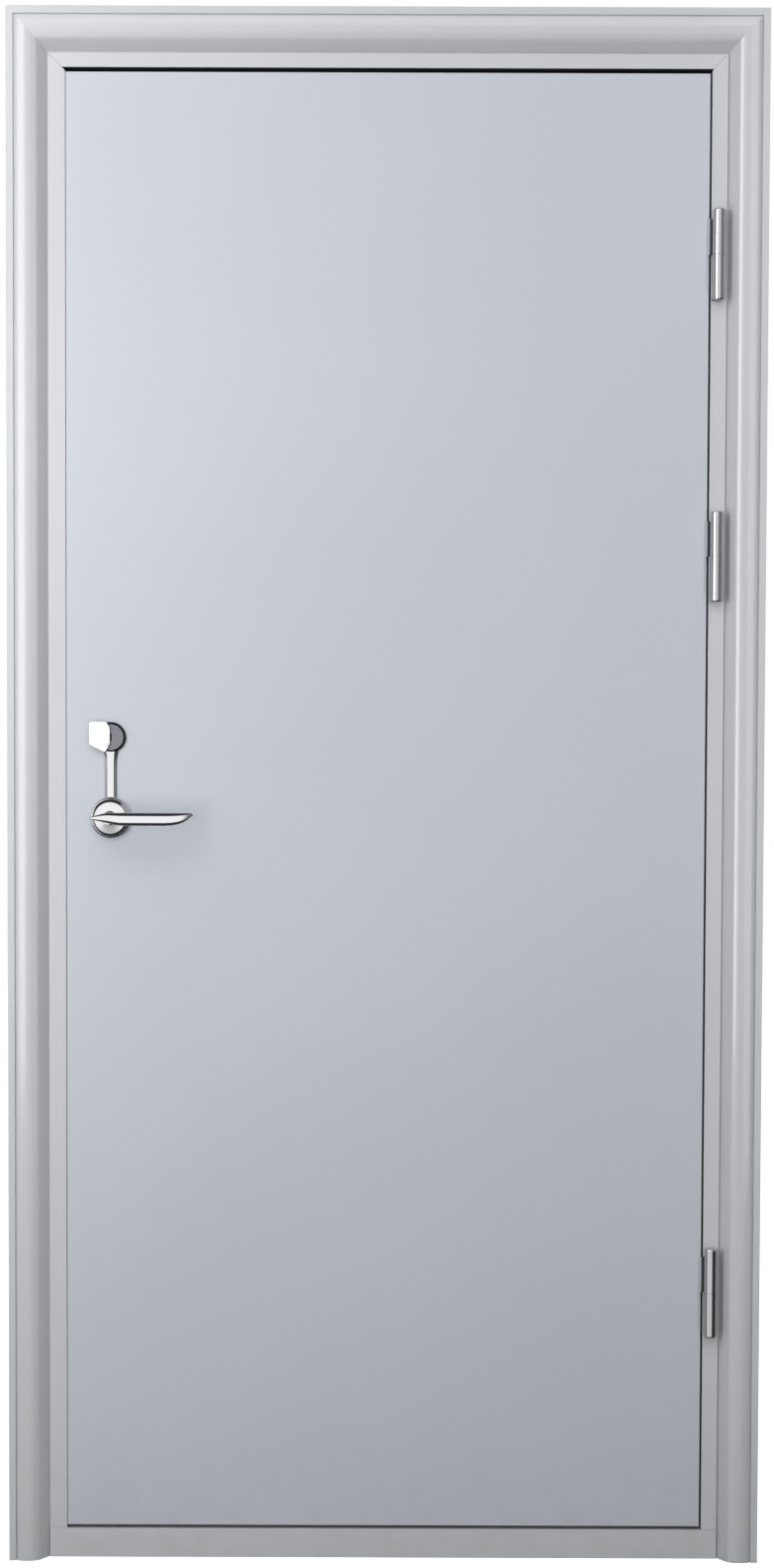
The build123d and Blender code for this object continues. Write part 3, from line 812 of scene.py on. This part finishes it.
hub_gap = 0.0085
arm_reach = 0.0425
arm_z = handle_z + 0.0018
hub_line = (
    (25.4, 0.0), (25.4, 0.7), (25.2, 1.1), (21.6, 4.2), (21.1, 4.4), (20.4, 4.5), (16.0, 5.2), (12.0, 5.9),
    (9.6, 6.5), (8.2, 7.7), (7.4, 9.8), (7.0, 14.0), (6.8, 26.0), (6.8, 40.0),
)
arm_quarter = (
    (0.0, 1.0), (0.30, 0.995), (0.50, 0.985), (0.56, 0.955), (0.94, 0.53), (0.985, 0.44), (1.0, 0.34),
    (1.0, 0.0),
)
arm_line = (
    (-24.0, 1.2, -1.2, 1.9), (-21.0, 2.3, -1.9, 3.2), (-17.0, 3.4, -2.7, 4.7), (-12.0, 4.7, -3.8, 6.5),
    (-6.0, 6.3, -5.1, 8.6), (0.0, 7.3, -6.5, 10.4), (8.0, 7.5, -8.3, 11.9), (16.0, 7.5, -9.8, 13.0),
    (30.0, 7.5, -10.0, 13.0), (54.0, 7.5, -10.0, 13.0), (76.0, 7.5, -10.0, 13.0), (86.0, 7.5, -9.4, 12.7),
    (94.0, 7.5, -7.9, 11.6), (101.0, 7.5, -5.4, 9.7), (107.0, 7.4, -2.3, 7.3), (111.0, 7.2, 0.6, 5.0),
    (113.6, 6.7, 2.7, 3.0), (115.0, 5.4, 4.0, 1.1),
)


def arm_section():
    """One turn of the arm's section as (up, forward), from the middle of the front over the top."""
    upper = list(arm_quarter) + [(up, -fore) for up, fore in reversed(arm_quarter[:-1])]
    return upper + [(-up, fore) for up, fore in reversed(upper[1:-1])]


def drawn_arm(name, depth, outwards):
    """The arm, drawn out from its tail through its stations."""
    plain_state()
    out, upper, lower, thick = arm_line[0]
    centre = Vector((handle_x + out / 1000, depth, arm_z + (upper + lower) / 2000))
    section = arm_section()
    bpy.ops.mesh.primitive_circle_add(vertices=len(section), radius=0.01, fill_type="NGON", location=centre)
    piece = bpy.context.object
    piece.name = name
    for vertex, (up, fore) in zip(piece.data.vertices, section):
        vertex.co = (0.0, outwards * fore * thick / 2000, up * (upper - lower) / 2000)
    bpy.ops.object.mode_set(mode="EDIT")
    bpy.ops.mesh.select_all(action="SELECT")
    for before, after in zip(arm_line, arm_line[1:]):
        middle = (after[1] + after[2] - before[1] - before[2]) / 2000
        step = Vector(((after[0] - before[0]) / 1000, 0.0, middle))
        bpy.ops.mesh.extrude_region_move(TRANSFORM_OT_translate={"value": step})
        centre = centre + step
        bpy.ops.transform.resize(
            value=(1.0, after[3] / before[3], (after[1] - after[2]) / (before[1] - before[2])),
            center_override=centre,
        )
    bpy.ops.object.mode_set(mode="OBJECT")
    return closed(piece)


def melted(first, second):
    """Two closed shells made one, as in a casting."""
    take(first)
    union = first.modifiers.new("melt", "BOOLEAN")
    union.operation = "UNION"
    union.solver = "EXACT"
    union.object = second
    bpy.ops.object.modifier_apply(modifier=union.name)
    bpy.data.objects.remove(second, do_unlink=True)
    return first


for side, face, outwards in sides:
    seat = face + outwards * hub_gap
    hub = turned(side + "_lever_cast", handle_z, seat, outwards, hub_line)
    arm = drawn_arm(side + "_arm", seat + outwards * arm_reach, outwards)
    piece = settle(coated(melted(hub, arm), chrome.material), 20.0)
    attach(piece, "handle")
    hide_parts(side + "_lever")

# Studio: a pale floor and a white surround, a tall soft light on each side, the left one stronger, and a
# wide one high in front. The camera stands at chest height, four metres away, tipped down a little.
# Polished metal sees white ahead, dark walls round it, and, where it is chromed, none of the lamps.

focal_pixels = 2950.8
picture_height = 1585
sensor = 36.0
camera_place = (0.00172, -4.0, 1.2384)
tip_down = 0.04469
camera_roll = 0.00334

plain_state()
bpy.ops.mesh.primitive_plane_add(size=14.0, location=(0.0, 0.0, 0.0))
floor = bpy.context.object
floor.name = "floor"
pale = Finish("pale_floor", {"Roughness": 0.9, "Specular IOR Level": 0.1})
pale.feed(
    "Base Color", pale.mix(pale.noise(0.8, 2.0), (0.43, 0.43, 0.43, 1.0), (0.47, 0.47, 0.47, 1.0))
)
pale.shader.inputs["Emission Color"].default_value = (1.0, 1.0, 1.0, 1.0)
pale.tree.links.new(
    pale.node("ShaderNodeLightPath", output="Is Camera Ray").socket,
    pale.shader.inputs["Emission Strength"],
)
coated(floor, pale.material)
floor.visible_glossy = False


class Surround(Finish):
    """The studio's walls, as seen in each direction."""

    def __init__(self, world):
        world.use_nodes = True
        self.tree = world.node_tree
        self.tree.nodes.clear()
        self.place = self.node("ShaderNodeTexCoord", output="Generated")

    def glow(self, level):
        return self.node(
            "ShaderNodeBackground", sockets={"Color": (1.0, 1.0, 1.0, 1.0), "Strength": level}
        )

    def blend(self, share, first, second):
        return self.node("ShaderNodeMixShader", sockets={0: share, 1: first, 2: second})


world = bpy.data.worlds.new("studio")
bpy.context.scene.world = world
walls = Surround(world)
facing = walls.along("Y") * -0.88 + walls.along("X") * -0.47
ahead = (facing * facing).between(0.36, 0.58)
high = walls.along("Z")
over = 1.0 - high.between(0.70, 0.82)
under = high.between(-0.42, -0.20)
beneath = high.between(-0.86, -0.70)
side = walls.along("X").between(-0.2, 0.4) * high.between(-0.20, 0.12) * over * 0.30
front = under * over + (1.0 - under) * beneath * 0.40
seen = walls.blend(ahead * front + (1.0 - ahead) * side, walls.glow(0.035), walls.glow(1.0))
to_camera = walls.node("ShaderNodeLightPath", output="Is Camera Ray")
to_gloss = walls.node("ShaderNodeLightPath", output="Is Glossy Ray")
through = walls.node("ShaderNodeLightPath", output="Is Transmission Ray")
behind = walls.along("Y").between(0.0, 0.4)
lit = walls.blend(to_gloss + through, walls.glow(behind * 0.45 + 0.16), seen)
walls.node(
    "ShaderNodeOutputWorld",
    sockets={"Surface": walls.blend(to_camera, lit, walls.glow(1.0))},
    output=None,
)


def lamp(name, place, aim, width, height, power, unlit):
    """A soft rectangular lamp that lights all pieces but those in the unlit finishes."""
    plain_state()
    bpy.ops.object.light_add(type="AREA", location=place)
    light = bpy.context.object
    light.name = name
    light.rotation_euler = (Vector(aim) - Vector(place)).to_track_quat("-Z", "Y").to_euler()
    light.data.shape = "RECTANGLE"
    light.data.size = width
    light.data.size_y = height
    light.data.energy = power
    reached = bpy.data.collections.new("lit_by_" + name)
    for piece in bpy.context.scene.objects:
        if piece.type == "MESH" and not {m.name for m in piece.data.materials if m} & unlit:
            reached.objects.link(piece)
    light.light_linking.receiver_collection = reached


lamp(
    "key", (-0.95, -1.35, 1.52), (-0.2, 0.0, 1.37),
    width=0.5, height=2.2, power=18.8, unlit={"bright_chrome"},
)
lamp(
    "fill", (0.95, -1.35, 1.35), (0.4, 0.0, 1.20),
    width=0.5, height=2.2, power=6.5, unlit={"bright_chrome", "satin_steel"},
)
lamp(
    "top", (0.0, -2.20, 3.60), (0.0, 0.0, 1.5),
    width=2.4, height=1.6, power=24.5, unlit={"bright_chrome"},
)

camera_data = bpy.data.cameras.new("view")
camera_data.sensor_fit = "VERTICAL"
camera_data.sensor_height = sensor
camera_data.lens = focal_pixels / picture_height * sensor
camera = bpy.data.objects.new("view", camera_data)
bpy.context.scene.collection.objects.link(camera)
camera.location = camera_place
camera.rotation_mode = "XYZ"
camera.rotation_euler = (math.pi / 2 - tip_down, 0.0, 0.0)
camera.rotation_euler.rotate_axis("Z", camera_roll)
bpy.context.scene.camera = camera

bpy.context.scene.view_settings.view_transform = "Standard"
